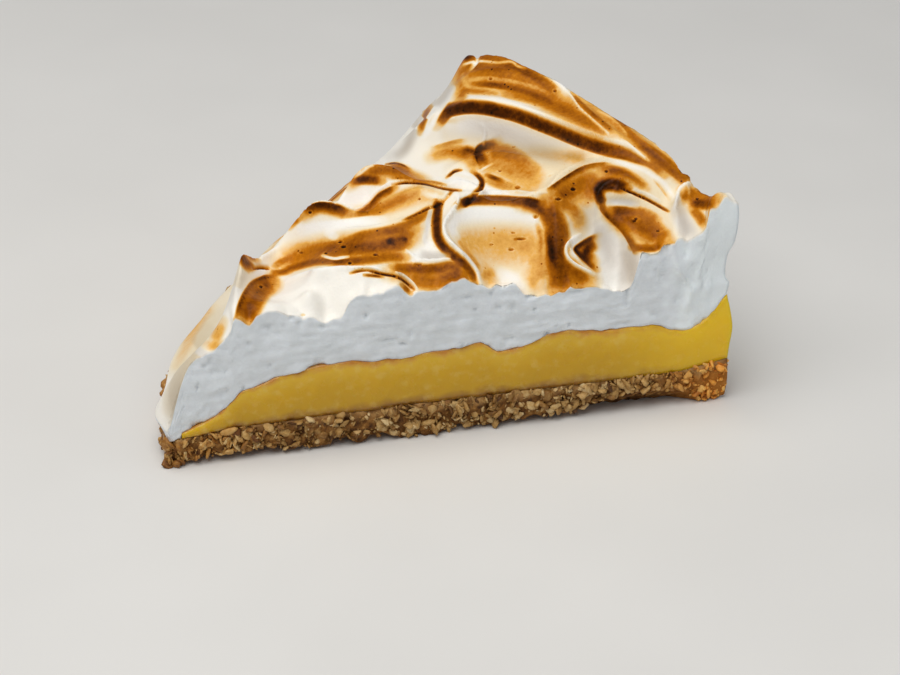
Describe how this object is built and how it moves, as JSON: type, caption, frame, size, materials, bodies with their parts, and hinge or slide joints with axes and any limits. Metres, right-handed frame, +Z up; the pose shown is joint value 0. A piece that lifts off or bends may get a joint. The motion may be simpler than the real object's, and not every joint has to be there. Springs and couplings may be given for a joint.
{
  "type": "slice of lemon meringue tart",
  "caption": "Wedge of lemon meringue tart lying on its base: crumbly biscuit crust, lemon curd and a thick swirled, browned meringue top, with two straight knife cuts.",
  "frame": {"origin": "middle of the bounding box, on the surface the slice lies on", "axes": "+X along the front cut from the rim to the tip, +Y in from the front cut, +Z up"},
  "size_m": [0.128, 0.109, 0.0602],
  "materials": {
    "crust": "matte, crumbly",
    "lemon_curd": "glossy, slightly see-through",
    "meringue": "satin"
  },
  "bodies": {
    "root": {"crust": "crust", "lemon_curd": "lemon_curd", "meringue": "meringue"}
  },
  "joints": []
}
